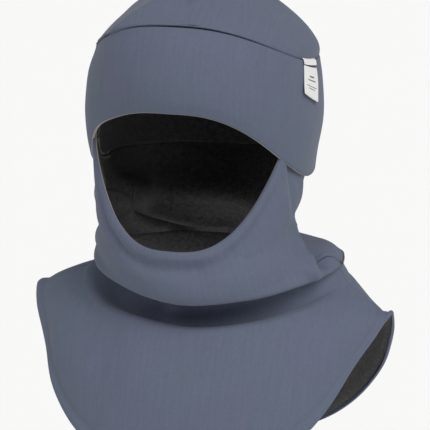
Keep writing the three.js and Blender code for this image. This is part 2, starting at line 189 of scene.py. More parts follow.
class BalaclavaStudio(bpy.types.PropertyGroup):
    """The camera's place and the studio's light"""
    azimuth: angle("Azimuth", "Camera's turn round the object", 16)
    elevation: angle("Elevation", "Camera's height above the horizon", 16)
    distance: length("Distance", "Camera's distance from its target", 1.3)
    target: length("Target", "Height of the camera's target", -0.206)
    floor_drop: length("Floor", "How far the floor lies below the hem", 1.25)


class BalaclavaSettings(bpy.types.PropertyGroup):
    """All sizes and colours of the balaclava"""
    head: PointerProperty(type=BalaclavaHead)
    cuff: PointerProperty(type=BalaclavaCuff)
    neck: PointerProperty(type=BalaclavaNeck)
    bib: PointerProperty(type=BalaclavaBib)
    label: PointerProperty(type=BalaclavaLabel)
    cloth: PointerProperty(type=BalaclavaCloth)
    colours: PointerProperty(type=BalaclavaColours)
    studio: PointerProperty(type=BalaclavaStudio)


def settings():
    """The scene's balaclava settings."""
    return bpy.context.scene.balaclava


# --------------------------------------------------------------------- rings
BOTH_SIDES = 0
WEARERS_LEFT = 1
WEARERS_RIGHT = -1


def ring(reach, heights, sweep=1.0, peak=2.0, peak_back=2.0, shift=0.0, draws=(), dips=()):
    """A ring round the wearer: reach and heights are (front, side, back). sweep says how long
    it stays near its front or back height, and peak how pointed the side is. Each draw pulls
    the cloth in: which side, centre and spread in degrees from the front, and how far. Each
    dip lowers it in the same way."""
    return {"reach": reach, "heights": heights, "sweep": sweep, "peak": peak,
            "peak_back": peak_back, "shift": shift, "draws": draws, "dips": dips}


def ring_points(values, angles):
    """Points of a ring at an array of angles."""
    c = np.cos(angles)
    s = np.sin(angles)
    turned = np.abs(np.arctan2(s, c))
    front, side, back = values["reach"]
    front_z, side_z, back_z = values["heights"]
    reach = np.where(c >= 0, front, back)
    end_z = np.where(c >= 0, front_z, back_z)
    peak = np.where(c >= 0, values["peak"], values["peak_back"])
    fall = np.clip(1 - np.abs(c) ** peak, 0, 1) ** values["sweep"]
    drawn = one_sided(values["draws"], turned, s)
    lowered = one_sided(values["dips"], turned, s)
    x = (side - drawn) * s + values["shift"]
    return np.stack([x, -reach * c, end_z + (side_z - end_z) * fall - lowered], -1)


def one_sided(changes, turned, s):
    """The sum of changes given as (which side, centre, spread, amount), in degrees."""
    total = np.zeros(turned.shape)
    for which, centre, spread, amount in changes:
        share = amount * bell(turned - math.radians(centre), math.radians(spread))
        total += share * (ramp(which * s, -0.2, 0.2) if which else 1)
    return total


def bell(distance, width):
    """1 at distance 0, falling smoothly to nothing over a few widths."""
    return np.exp(-((distance / width) ** 2))


def ramp(value, low, high):
    """0 below low, 1 above high, smooth between them."""
    share = np.clip((value - low) / (high - low), 0, 1)
    return share * share * (3 - 2 * share)


def between(first, second, share):
    """A value that lies a share of the way from one to another."""
    return (1 - share) * first + share * second


def cuff_levels(s):
    """Heights (front, side, back) of the cuff's top edge and bottom edge."""
    drops = (s.head.drop_front, s.head.drop_side, s.head.drop_back)
    heights = (s.cuff.height_front, s.cuff.height_side, s.cuff.height_back)
    top = tuple(CROWN_TOP - drop for drop in drops)
    bottom = tuple(z - height for z, height in zip(top, heights))
    return top, bottom, heights


# Each cuff ring: how far it stands out as shares of the bulge at the front, side and
# back, how far down it lies as shares of the height there, and its sweep.
CUFF_SHAPE = (
    ((0.0, 0.0, 0.0), (0.0, 0.0, 0.0), 1.22),
    ((0.6, 0.33, 0.6), (0.24, 0.2, 0.2), 1.25),
    ((1.0, 0.44, 0.85), (0.56, 0.52, 0.52), 1.3),
    ((1.05, 0.25, 0.88), (0.83, 0.82, 0.82), 1.35),
    ((0.83, 0.06, 0.75), (1.0, 1.0, 1.0), 1.38),
)
# How far each cuff ring is drawn in at the wearer's left and right.
CUFF_DRAWS = ((-0.0005, 0.002), (0.0015, 0.0008), (0.0020, 0.0), (0.0036, -0.0008),
              (0.0030, -0.001))
# How much higher the cuff's lower edge lies at the wearer's right.
CUFF_LIFT = 0.009


def cuff_rings(s):
    """The cuff's rings from its top edge to its bottom edge."""
    top, _, heights = cuff_levels(s)
    size = (s.head.front, s.head.side, s.head.back)
    rings = []
    for (stand, down, sweep), (left, right) in zip(CUFF_SHAPE, CUFF_DRAWS):
        reach = tuple(r + k * s.cuff.bulge for r, k in zip(size, stand))
        level = tuple(z - k * h for z, k, h in zip(top, down, heights))
        draws = ((WEARERS_LEFT, 104, 30, left), (WEARERS_RIGHT, 74, 28, right))
        dips = ((WEARERS_RIGHT, 55, 19, -CUFF_LIFT * ramp(down[0], 0.5, 1.0)),)
        rings.append(ring(reach, level, sweep=sweep, shift=s.head.shift, draws=draws, dips=dips))
    return rings


def inside(values, step, rise):
    """A ring that lies a step inside another and a rise above it."""
    reach = tuple(r - step for r in values["reach"])
    heights = tuple(z + rise for z in values["heights"])
    return ring(reach, heights, sweep=values["sweep"], shift=values["shift"],
                draws=values["draws"], dips=values["dips"])


def halfway(first, second, share):
    """A ring without dips that lies a share of the way from one ring to another."""
    def mix(key):
        return tuple(between(a, b, share) for a, b in zip(first[key], second[key]))

    draws = tuple((*a[:3], between(a[3], b[3], share))
                  for a, b in zip(first["draws"], second["draws"]))
    return ring(mix("reach"), mix("heights"), sweep=first["sweep"], shift=first["shift"],
                draws=draws)


# Each crown ring: its reach as shares of the head's size at the front, side and back,
# how far down it lies as shares of the drop there, and its sweep.
CROWN_SHAPE = (
    ((0.0, 0.0, 0.0), (0.0, 0.0, 0.0), 1.1),
    ((0.34, 0.36, 0.36), (0.18, 0.13, 0.11), 1.1),
    ((0.64, 0.66, 0.66), (0.45, 0.40, 0.34), 1.1),
    ((0.80, 0.87, 0.86), (0.66, 0.63, 0.57), 1.15),
    ((0.90, 0.985, 0.97), (0.82, 0.83, 0.77), 1.2),
)
# How far the crown is drawn in at the wearer's right.
CROWN_LEAN = 0.0055
# Where the crown's cloth turns into the fold behind the cuff's top edge: a step in and a
# rise above the edge, and the rise of the ring below it.
CROWN_TURN = (0.0006, 0.0026)
CROWN_TUCK = 0.0001


def crown_rings(s):
    """The crown's rings from its top to its rim inside the cuff."""
    size = (s.head.front, s.head.side, s.head.back)
    drops = (s.head.drop_front, s.head.drop_side, s.head.drop_back)
    rings = []
    for share, down, sweep in CROWN_SHAPE:
        reach = tuple(r * k for r, k in zip(size, share))
        level = tuple(CROWN_TOP - d * k for d, k in zip(drops, down))
        lean = ((WEARERS_RIGHT, 75, 45, CROWN_LEAN * min(share[1], 1 - down[1] + 0.6)),)
        rings.append(ring(reach, level, sweep=sweep, shift=s.head.shift, draws=lean))
    cuff = cuff_rings(s)
    step = s.cloth.stack + s.cuff.fold_gap
    rings.append(inside(cuff[0], *CROWN_TURN))
    rings.append(inside(cuff[0], step, CROWN_TUCK))
    rings.append(inside(halfway(cuff[0], cuff[1], 0.4), step, 0))
    rings.append(inside(cuff[1], step, 0))
    rings.append(inside(cuff[2], step, 0))
    rings.append(inside(cuff[-1], step, s.cuff.overhang))
    return rings


# From the neck roll's side down to the back bib's crease.
CREASE_DROP_BACK = 0.030


def hood_rings(s):
    """Rows 0 to 5 are the hood down to the neck roll's lower edge, rows 5 to 9 the hollow
    behind the roll, and rows 9 to 13 the bib down to its hem."""
    neck = s.neck
    bib = s.bib
    rim = crown_rings(s)[-1]
    side = rim["heights"][1]
    _, bottom, _ = cuff_levels(s)
    chin = bottom[0] - neck.face_height
    roll = chin - neck.roll_height
    roll_side = bottom[1] - neck.side_drop
    crease = roll - bib.crease_drop
    crease_back = roll_side - CREASE_DROP_BACK
    shoulder = roll_side - bib.shoulder_drop
    front_fall = crease - HEM_FRONT
    back_fall = crease_back - HEM_BACK
    back = neck.nape
    lean = s.head.shift
    pinch = neck.pinch
    jaw_fold = (BOTH_SIDES, 100, 32)
    nape_fold = (WEARERS_LEFT, 104, 30)
    back_fold = (WEARERS_LEFT, 144, 30)
    right_hollow = (WEARERS_RIGHT, 60, 28, 0.024)
    right_dip = (WEARERS_RIGHT, 52, 26)
    left_dip = (WEARERS_LEFT, 106, 22)
    ledge = (WEARERS_LEFT, 128, 42)
    hem_tuck = (BOTH_SIDES, 62, 16)
    return [
        rim,
        ring((neck.rim_front + 0.0005, neck.jaw, 0.45 * rim["reach"][2] + 0.55 * back),
             (chin - 0.007, side - 0.018, rim["heights"][2] - 0.018), shift=lean + 0.001,
             draws=((*jaw_fold, 0.6 * pinch), (*nape_fold, 0.005), (*back_fold, 0.004))),
        ring((neck.rim_front + 0.0015, neck.jaw, back),
             (chin - 0.014, side - 0.033, rim["heights"][2] - 0.036), shift=lean + 0.003,
             draws=((*jaw_fold, pinch), (*nape_fold, 0.011), (*back_fold, 0.011)),
             dips=((*ledge, 0.008),)),
        ring((neck.rim_front + 0.002, 0.6 * neck.jaw + 0.4 * neck.roll_side, back + 0.006),
             (chin - 0.022, roll_side + 0.021, roll_side + 0.018), shift=0.5 * neck.shift,
             draws=((*jaw_fold, 0.35 * pinch), (*nape_fold, 0.025), (*back_fold, 0.022),
                    (WEARERS_RIGHT, 74, 30, -0.001)),
             dips=((*ledge, 0.0155),)),
        ring((neck.rim_front, neck.roll_side - 0.004, back + 0.016),
             (chin - 0.033, roll_side + 0.010, roll_side + 0.006),
             shift=0.75 * neck.shift, draws=((*nape_fold, 0.007), (*back_fold, 0.004)),
             dips=((WEARERS_LEFT, 150, 38, 0.008),)),
        ring((neck.rim_front - 0.008, neck.roll_side, back + 0.022),
             (roll, roll_side, roll_side - 0.006), sweep=0.85, shift=neck.shift,
             draws=((WEARERS_RIGHT, 78, 16, 0.0015), (WEARERS_RIGHT, 48, 20, -0.0025)),
             dips=((WEARERS_LEFT, 150, 38, 0.004),)),
        ring((neck.wall_front + 0.003, neck.roll_side - 0.001, back + 0.021),
             (roll - 0.001, roll_side - 0.004, roll_side - 0.013), sweep=0.85,
             shift=neck.shift, draws=(right_hollow,)),
        ring((neck.wall_front, neck.roll_side + 0.001, back + 0.021),
             (crease - 0.001, roll_side - 0.009, roll_side - 0.020), sweep=0.85,
             shift=neck.shift, draws=(right_hollow,)),
        ring((neck.wall_front + 0.009, neck.roll_side + 0.004, back + 0.0215),
             (crease - 0.0065, roll_side - 0.013, roll_side - 0.026), sweep=0.86,
             shift=0.95 * neck.shift, draws=((*right_hollow[:3], 0.015),),
             dips=((*right_dip, 0.008),)),
        ring((neck.rim_front - 0.0175, neck.roll_side + 0.0070, back + 0.0225),
             (crease - 0.0018, roll_side - 0.0155, crease_back + 0.002), sweep=0.86,
             shift=0.9 * neck.shift, dips=((*right_dip, 0.007), (*left_dip, 0.002))),
        ring((neck.rim_front - 0.0102, neck.roll_side + 0.0115, back + 0.024),
             (crease - 0.0050, roll_side - 0.018, crease_back - 0.003), sweep=0.86,
             shift=0.88 * neck.shift, dips=((*right_dip, 0.007), (*left_dip, 0.003))),
        ring((neck.rim_front - 0.003, between(neck.roll_side, bib.shoulder, 0.55),
              bib.back - 0.014),
             (crease - 0.22 * front_fall, between(roll_side, shoulder, 0.7),
              crease_back - 0.2 * back_fall),
             sweep=0.9, peak=1.9, peak_back=1.8, shift=0.7 * neck.shift,
             dips=((*right_dip, 0.003), (*left_dip, 0.010))),
        ring((bib.front - 0.008, between(neck.roll_side, bib.shoulder, 0.82),
              bib.back - 0.007),
             (crease - 0.57 * front_fall, between(roll_side, shoulder, 0.9),
              crease_back - 0.57 * back_fall),
             sweep=0.95, peak=1.65, peak_back=1.5, shift=bib.shift + 0.001,
             draws=((*hem_tuck, 0.004),), dips=((*left_dip, 0.010),)),
        ring((bib.front, bib.shoulder, bib.back), (HEM_FRONT, shoulder, HEM_BACK),
             peak=1.35, peak_back=1.2, shift=bib.shift,
             draws=((*hem_tuck, 0.009), (WEARERS_LEFT, 84, 24, 0.004))),
    ]


# The row where hood and bib are joined, under the neck roll, and the hem's row.
SPLIT = 5.35
HEM_ROW = 13
# How steeply the chin guard's rim rises to the corners of the face opening, and how
# gradually it joins the crown's rim there.
RIM_POWER = 3.1
CORNER_BLEND = math.radians(5)


def chin_rim(s, rim, angles):
    """The U-shaped rim of the chin guard. Past the face opening's corners it joins the
    crown's rim, over a few degrees."""
    _, bottom, _ = cuff_levels(s)
    chin = bottom[0] - s.neck.face_height
    corner = math.sin(s.neck.face_angle)
    corner_z = ring_points(rim, np.array([s.neck.face_angle]))[0, 2]
    turned = np.abs(np.arctan2(np.sin(angles), np.cos(angles)))
    held = np.minimum(turned, s.neck.face_angle + CORNER_BLEND)
    rise = (np.sin(held) / corner) ** RIM_POWER
    x = s.neck.rim_side * np.sin(angles) + s.head.shift
    y = -s.neck.rim_front * np.cos(angles)
    under = np.stack([x, y, chin + (corner_z - chin) * rise], -1)
    above = ring_points(rim, angles)
    share = ramp(turned, s.neck.face_angle, s.neck.face_angle + 2 * CORNER_BLEND)[..., None]
    return under * (1 - share) + above * share


def loft(row_points, last):
    """A smooth surface through rows. row_points(row, angles) gives the points of a whole
    row, and t may lie between rows or a little outside them."""
    def surface(angles, t):
        rows = np.stack([row_points(row, angles) for row in range(last + 1)])
        first = 2 * rows[0] - rows[1]
        beyond = 2 * rows[-1] - rows[-2]
        rows = np.concatenate([first[None], rows, beyond[None]])
        i = np.clip(np.floor(t).astype(int), 0, last - 1)
        f = (t - i)[..., None]
        picked = [np.take_along_axis(rows, (i + k)[None, ..., None], 0)[0] for k in range(4)]
        a, b, c, d = picked
        return 0.5 * (a * (-f + 2 * f**2 - f**3) + b * (2 - 5 * f**2 + 3 * f**3)
                      + c * (f + 4 * f**2 - 3 * f**3) + d * (-(f**2) + f**3))
    return surface


def crown_surface(s):
    """The crown's outside."""
    rings = crown_rings(s)
    return loft(lambda row, angles: ring_points(rings[row], angles), len(rings) - 1)


def cuff_surface(s):
    """The cuff's outside."""
    rings = cuff_rings(s)
    return loft(lambda row, angles: ring_points(rings[row], angles), len(rings) - 1)


def hood_surface(s):
    """The outside from the crown's rim to the hems."""
    rings = hood_rings(s)

    def row_points(row, angles):
        plain = ring_points(rings[row], angles)
        if row > 0:
            return plain
        front = (np.cos(angles) > 0)[..., None]
        return np.where(front, chin_rim(s, rings[0], angles), plain)

    return loft(row_points, HEM_ROW)


def outward(surface, angles, t):
    """The surface's outward unit normals."""
    around = surface(angles + 0.05, t) - surface(angles - 0.05, t)
    down = surface(angles, t + 0.01) - surface(angles, t - 0.01)
    normal = np.cross(down, around)
    size = np.linalg.norm(normal, axis=-1, keepdims=True)
    up = np.zeros_like(normal)
    up[..., 2] = 1
    return np.where(size > 1e-9, normal / np.maximum(size, 1e-12), up)


# --------------------------------------------------------------------- cloth
# How many mesh rows show the lining's cut edge at a panel's top and bottom, coloured pale as a painted
# highlight where the pile catches the light.
CUT_ROWS_TOP = 3
CUT_ROWS_BOTTOM = 5
# Degrees through which a rolled rim turns, row by row.
RIM_TURNS = (30, 60, 90, 120, 150, 175)
# How quickly the cloth rises again beside a seam line.
SEAM_LINE = 0.0012


def span_grid(columns, rows, start, end, top, bottom):
    """Angles and row positions of a panel's grid. start and end are angles, or functions
    that give the angle at each row position. top and bottom are row positions."""
    across = np.linspace(0, 1, columns + 1)[None, :]
    down = np.linspace(0, 1, rows + 1)[:, None]
    t = top + (bottom - top) * down + 0 * across
    low = start(t) if callable(start) else start
    high = end(t) if callable(end) else end
    return low + (high - low) * across, t


def lengths(points):
    """Distances down each column and along each row, from the grid's first row and column."""
    down = np.zeros(points.shape[:2])
    down[1:] = np.cumsum(np.linalg.norm(np.diff(points, axis=0), axis=-1), 0)
    across = np.zeros(points.shape[:2])
    across[:, 1:] = np.cumsum(np.linalg.norm(np.diff(points, axis=1), axis=-1), 1)
    return down, across


def rolled(edge, outside, past, radius, turns):
    """Rows of points that roll a cloth's edge inwards round a small radius."""
    rows = []
    for turn in turns:
        a = math.radians(turn)
        rows.append(edge + radius * (outside * (math.cos(a) - 1) + past * math.sin(a)))
    return rows


def unit(vectors):
    """Vectors scaled to length 1."""
    return vectors / np.maximum(np.linalg.norm(vectors, axis=-1, keepdims=True), 1e-12)


def weave_sheet(name, points, thickness, tint, closed=False):
    """A cloth of the given thickness whose outside runs through a grid of points, rows from
    top to bottom and columns round the wearer. tint is a number for each point, 1 at a cut
    edge, where the colour is painted pale as a highlight. The UV map holds the distances
    across and down in metres."""
    rows, columns = points.shape[0] - 1, points.shape[1] - 1
    bpy.ops.object.select_all(action="DESELECT")
    bpy.ops.mesh.primitive_grid_add(x_subdivisions=columns, y_subdivisions=rows, size=2)
    cloth = bpy.context.object
    cloth.name = name
    cloth.data.name = name
    mesh = cloth.data
    start = np.zeros(len(mesh.vertices) * 3)
    mesh.vertices.foreach_get("co", start)
    start = start.reshape(-1, 3)
    column = np.rint((start[:, 0] + 1) / 2 * columns).astype(int)
    row = np.rint((1 - start[:, 1]) / 2 * rows).astype(int)
    if len(start) != (rows + 1) * (columns + 1):
        raise RuntimeError(f"{name}: the grid has {len(start)} points")
    mesh.vertices.foreach_set("co", points[row, column].astype(np.float32).ravel())
    shown = mesh.attributes.new("tint", "FLOAT", "POINT")
    shown.data.foreach_set("value", tint[row, column].astype(np.float32))
    down, across = lengths(points)
    middle = across[:, columns // 2][:, None]
    across = across - middle
    corner = np.zeros(len(mesh.loops), np.int32)
    mesh.loops.foreach_get("vertex_index", corner)
    uv = np.stack([across[row, column], -down[row, column]], -1)[corner]
    mesh.uv_layers[0].data.foreach_set("uv", uv.astype(np.float32).ravel())
    mesh.update()
    if closed:
        bpy.ops.object.mode_set(mode="EDIT")
        bpy.ops.mesh.select_all(action="SELECT")
        bpy.ops.mesh.remove_doubles(threshold=1e-6)
        bpy.ops.object.mode_set(mode="OBJECT")
    wall = cloth.modifiers.new("Cloth thickness", "SOLIDIFY")
    wall.thickness = thickness
    wall.offset = -1
    bpy.ops.object.modifier_apply(modifier=wall.name)
    bpy.ops.object.shade_smooth()
    return cloth


def sew_panel(name, surface, grid, relief, s, rims=(), bare=(), closed=False, inner=None,
              bridge=None):
    """The outer layer and the lining of one panel. relief gives how far the cloth stands
    off its plain surface. rims names the edges, top or bottom, that are rolled, and bare
    the edges where the lining's cut edge shows, in a colour painted pale as a highlight where
    the pile catches the light. inner gives how far the lining hangs loose, and bridge the rows
    between which it is taut and cuts a bend short."""
    angles, t = grid
    plain = surface(angles, t)
    normal = outward(surface, angles, t)
    down, across = lengths(plain)
    place = {"points": plain, "angles": angles, "t": t,
             "from_top": down, "from_bottom": down[-1][None, :] - down,
             "from_left": across, "from_right": across[:, -1][:, None] - across}
    raised = plain + normal * relief(place)[..., None]
    shell = edge_rows(raised, normal, s, rims)
    # Rows at a bare edge get the pale cut-edge colour, a painted highlight.
    tint = np.zeros(shell.shape[:2])
    if "top" in bare:
        tint[:CUT_ROWS_TOP] = 1
    if "bottom" in bare:
        tint[-CUT_ROWS_BOTTOM:] = 1
    outer = weave_sheet(name + "_outer", shell, s.cloth.shell, tint, closed)
    fleece_top = s.cloth.stack - s.cloth.fleece
    kept = inner_rows(place, rims)
    loose = inner(place)[..., None] if inner else 0
    lining_points = raised - normal * (fleece_top + loose)
    if bridge:
        lining_points = taut(lining_points, t[:, 0], *bridge)
    lining_points = lining_points[kept]
    tint = np.zeros(lining_points.shape[:2])
    for edge in bare:
        walked = place["from_" + edge][kept]
        tint += 1 - ramp(walked - walked.min(0), 0.0008, 0.0030)
    lining = weave_sheet(name + "_fleece", lining_points, s.cloth.fleece, tint, closed)
    return outer, lining


def taut(points, t, start, end):
    """A grid of points with straight lines between two of its row positions."""
    rows = np.flatnonzero((t >= start) & (t <= end))
    first, last = rows[0], rows[-1]
    share = ((rows - first) / (last - first))[:, None, None]
    pulled = points.copy()
    pulled[rows] = (1 - share) * points[first] + share * points[last]
    return pulled


def inner_rows(place, rims):
    """The rows of a panel that its lining keeps: it ends just short of a rolled rim."""
    count = place["t"].shape[0]
    first = 1 if "top" in rims else 0
    last = count - 1 if "bottom" in rims else count
    return slice(first, last)


def edge_rows(points, normal, s, rims):
    """A panel's rows with its rolled rims added."""
    radius = 0.5 * s.cloth.stack
    rows = [points]
    if "top" in rims:
        past = unit(points[0] - points[1])
        roll = rolled(points[0], normal[0], past, radius, RIM_TURNS)
        rows.insert(0, np.stack(roll[::-1]))
    if "bottom" in rims:
        past = unit(points[-1] - points[-2])
        roll = rolled(points[-1], normal[-1], past, radius, RIM_TURNS)
        rows.append(np.stack(roll))
    return np.concatenate(rows)


def sway(points, size, height, seed):
    """Soft unevenness of hung cloth: smooth noise with features of the given size."""
    place = np.asarray(points).reshape(-1, 3) / np.asarray(size)
    value = [noise.noise(Vector((x + seed, y - seed, z))) for x, y, z in place.tolist()]
    return height * np.array(value).reshape(points.shape[:-1])


def segment_distance(points, path):
    """Distance from each point to a path of straight stretches."""
    best = np.full(points.shape[:-1], np.inf)
    for a, b in zip(path[:-1], path[1:]):
        a = np.array(a)
        along = np.array(b) - a
        share = np.clip(((points - a) @ along) / (along @ along), 0, 1)
        best = np.minimum(best, np.linalg.norm(points - a - share[..., None] * along, axis=-1))
    return best


def crease(points, path, depth, width):
    """A sharp-bottomed crease along a path, depth above 0 for a ridge."""
    return depth * np.exp(-segment_distance(points, path) / width)


def swell(points, path, height, width):
    """A soft ridge along a path, or a soft valley where height is below 0."""
    return height * bell(segment_distance(points, path), width)


def band(distance, height, centre, width):
    """A soft ridge of a height at a distance from an edge, or a groove below 0."""
    return height * bell(distance - centre, width)


def seam_dip(distance, s):
    """A sewn seam's dip at a distance from the seam line, with the cloth puffed beside it."""
    depth = s.cloth.seam_depth
    return band(distance, 0.3 * depth, 0.005, 0.003) - depth * np.exp(-distance / SEAM_LINE)


# ----------------------------------------------------------------- materials
def new_material(name):
    """A material with a Principled shader, its nodes and its links."""
    material = bpy.data.materials.new(name)
    material.use_nodes = True
    nodes = material.node_tree.nodes
    return material, nodes, material.node_tree.links, nodes["Principled BSDF"]


def noise_texture(nodes, links, vector, scale, detail, roughness=0.55):
    """A noise texture's factor at a number of features to the metre."""
    texture = nodes.new("ShaderNodeTexNoise")
    texture.inputs["Scale"].default_value = scale
    texture.inputs["Detail"].default_value = detail
    texture.inputs["Roughness"].default_value = roughness
    links.new(vector, texture.inputs["Vector"])
    return texture.outputs["Fac"]


def stretched(nodes, links, vector, scale):
    """A vector scaled by its own amount along each axis."""
    mapping = nodes.new("ShaderNodeMapping")
    mapping.inputs["Scale"].default_value = scale
    links.new(vector, mapping.inputs["Vector"])
    return mapping.outputs["Vector"]


def blend_colours(nodes, links, factor, first, second):
    """Two colours mixed by a factor. Each is a colour or a socket."""
    mix = nodes.new("ShaderNodeMix")
    mix.data_type = "RGBA"
    links.new(factor, mix.inputs["Factor"])
    shades = [socket for socket in mix.inputs if socket.type == "RGBA"]
    for socket, value in zip(shades, (first, second)):
        if isinstance(value, bpy.types.NodeSocket):
            links.new(value, socket)
        else:
            socket.default_value = (*value, 1)
    return next(socket for socket in mix.outputs if socket.type == "RGBA")


def remap(nodes, links, value, low, high, to_low=0.0, to_high=1.0):
    """A value spread from one range to another."""
    node = nodes.new("ShaderNodeMapRange")
    node.inputs["From Min"].default_value = low
    node.inputs["From Max"].default_value = high
    node.inputs["To Min"].default_value = to_low
    node.inputs["To Max"].default_value = to_high
    links.new(value, node.inputs["Value"])
    return node.outputs["Result"]


def calculate(nodes, links, operation, first, second):
    """One sum, product or other result of two values."""
    node = nodes.new("ShaderNodeMath")
    node.operation = operation
    for socket, value in zip(node.inputs, (first, second)):
        if isinstance(value, bpy.types.NodeSocket):
            links.new(value, socket)
        else:
            socket.default_value = value
    return node.outputs["Value"]


def bump(nodes, links, shader, height, strength, distance):
    """Gives a shader a bump of a height, in metres times distance."""
    node = nodes.new("ShaderNodeBump")
    node.inputs["Strength"].default_value = strength
    node.inputs["Distance"].default_value = distance
    links.new(height, node.inputs["Height"])
    links.new(node.outputs["Normal"], shader.inputs["Normal"])


def softshell_material(s):
    """Matte brushed softshell: a fine knit face with faint streaks and cloudy patches."""
    material, nodes, links, shader = new_material("brushed_softshell")
    place = nodes.new("ShaderNodeTexCoord").outputs["Object"]
    cloth = nodes.new("ShaderNodeUVMap").outputs["UV"]
    clouds = remap(nodes, links, noise_texture(nodes, links, place, 16, 3), 0.38, 0.62)
    colours = s.colours
    base = blend_colours(nodes, links, clouds, tuple(colours.shell), tuple(colours.shell_cool))
    streak = noise_texture(nodes, links, stretched(nodes, links, cloth, (420, 34, 1)), 1, 3)
    mottle = noise_texture(nodes, links, place, 700, 4, 0.7)
    tone = calculate(nodes, links, "ADD", remap(nodes, links, streak, 0.3, 0.7, -0.045, 0.045),
                     remap(nodes, links, mottle, 0.3, 0.7, -0.07, 0.07))
    tone = calculate(nodes, links, "ADD", tone, 1.0)
    scaled = nodes.new("ShaderNodeVectorMath")
    scaled.operation = "SCALE"
    # At a panel's cut-edge rows the shell takes the lining's edge colour, painted pale as a highlight
    # where the pile catches the light.
    bare = nodes.new("ShaderNodeAttribute")
    bare.attribute_name = "tint"
    base = blend_colours(nodes, links, bare.outputs["Fac"], base, tuple(colours.fleece_edge_highlight))
    links.new(base, scaled.inputs[0])
    links.new(tone, scaled.inputs["Scale"])
    links.new(scaled.outputs["Vector"], shader.inputs["Base Color"])
    wales = nodes.new("ShaderNodeTexWave")
    wales.inputs["Scale"].default_value = 260
    wales.inputs["Distortion"].default_value = 1.2
    wales.inputs["Detail"].default_value = 1.0
    wales.inputs["Detail Scale"].default_value = 3.0
    links.new(cloth, wales.inputs["Vector"])
    height = calculate(nodes, links, "MULTIPLY", wales.outputs["Fac"], 0.35)
    height = calculate(nodes, links, "ADD", height, mottle)
    bump(nodes, links, shader, height, 0.35, 0.0004)
    shader.inputs["Roughness"].default_value = 0.9
    shader.inputs["Specular IOR Level"].default_value = 0.22
    shader.inputs["Sheen Weight"].default_value = 0.10
    shader.inputs["Sheen Roughness"].default_value = 0.45
    return material


def fleece_material(s):
    """Heather fleece: dark and lighter fibres in small clumps, and a cut edge painted paler as a
    highlight where the pile catches the light.
    """
    material, nodes, links, shader = new_material("heather_fleece")
    place = nodes.new("ShaderNodeTexCoord").outputs["Object"]
    clumps = noise_texture(nodes, links, place, 330, 5, 0.75)
    fibres = noise_texture(nodes, links, place, 1500, 3, 0.6)
    flecks = calculate(nodes, links, "ADD", remap(nodes, links, clumps, 0.36, 0.66, 0, 0.6),
                       remap(nodes, links, fibres, 0.35, 0.7, 0, 0.4))
    colours = s.colours
    base = blend_colours(nodes, links, flecks, tuple(colours.fleece_dark), tuple(colours.fleece_light))
    # The cut edge is painted paler as a highlight where the pile catches the light.
    edge = nodes.new("ShaderNodeAttribute")
    edge.attribute_name = "tint"
    shown = calculate(nodes, links, "MULTIPLY", edge.outputs["Fac"],
                      remap(nodes, links, fibres, 0.3, 0.6, 0.35, 1.0))
    base = blend_colours(nodes, links, shown, base, tuple(colours.fleece_edge_highlight))
    links.new(base, shader.inputs["Base Color"])
    height = calculate(nodes, links, "ADD", clumps, calculate(nodes, links, "MULTIPLY", fibres, 0.5))
    bump(nodes, links, shader, height, 0.8, 0.0016)
    shader.inputs["Roughness"].default_value = 1.0
    shader.inputs["Specular IOR Level"].default_value = 0.1
    shader.inputs["Sheen Weight"].default_value = 0.15
    shader.inputs["Sheen Roughness"].default_value = 0.6
    return material


def label_material(s):
    """Woven satin tape with fine ribs across it and plain dark bars."""
    material, nodes, links, shader = new_material("woven_tape")
    cloth = nodes.new("ShaderNodeUVMap").outputs["UV"]
    ribs = nodes.new("ShaderNodeTexWave")
    ribs.bands_direction = "Y"
    ribs.inputs["Scale"].default_value = 420
    ribs.inputs["Distortion"].default_value = 0.6
    links.new(cloth, ribs.inputs["Vector"])
    threads = noise_texture(nodes, links, stretched(nodes, links, cloth, (260, 2600, 1)), 1, 2)
    shade = remap(nodes, links, threads, 0.3, 0.7, 0.0, 1.0)
    base = tuple(s.colours.label)
    dark = tuple(0.88 * c for c in base)
    tone = blend_colours(nodes, links, shade, base, dark)
    bars = nodes.new("ShaderNodeAttribute")
    bars.attribute_name = "tint"
    tone = blend_colours(nodes, links, bars.outputs["Fac"], tone, tuple(s.colours.label_mark))
    links.new(tone, shader.inputs["Base Color"])
    height = calculate(nodes, links, "ADD", ribs.outputs["Fac"], threads)
    bump(nodes, links, shader, height, 0.35, 0.0002)
    shader.inputs["Roughness"].default_value = 0.55
    shader.inputs["Specular IOR Level"].default_value = 0.35
    shader.inputs["Sheen Weight"].default_value = 0.05
    return material


# The name of each slot's finish, and what makes it.
FINISHES = {
    "softshell": ("brushed_softshell", softshell_material),
    "fleece": ("heather_fleece", fleece_material),
    "label": ("woven_tape", label_material),
}


def material_for(slot):
    """The finish of a material slot, made the first time that it is needed."""
    name, maker = FINISHES[slot]
    return bpy.data.materials.get(name) or maker(settings())


def dress(piece, slot):
    """Gives a piece its finish."""
    piece.data.materials.clear()
    piece.data.materials.append(material_for(slot))


# -------------------------------------------------------------------- panels
def flat_size(points):
    """Width, length and area that a panel was cut to, from a grid on its plain surface."""
    down, across = lengths(points)
    width = float(across[:, -1].max())
    height = float(down[-1].max())
    a = points[1:, :-1] - points[:-1, :-1]
    b = points[:-1, 1:] - points[:-1, :-1]
    area = float(np.linalg.norm(np.cross(a, b), axis=-1).sum())
    return (width, height), area


def declare(points):
    """Works out the flat size and area of a panel's two layers, and does nothing with them."""
    flat, area = flat_size(points)


def count_rows(s, height):
    """How many mesh rows a panel of a height gets."""
    return max(8, int(round(height / s.cloth.row_step)))


# A soft ridge and a flatter place beside it, on the crown's front at the wearer's right.
FACET_RIDGE = (((-0.014, -0.052, -0.009), (-0.030, -0.066, -0.020), (-0.046, -0.070, -0.031)),
               0.0016, 0.009)
FACET_FLAT = (((-0.036, -0.034, -0.013), (-0.058, -0.044, -0.030)), -0.0028, 0.017)
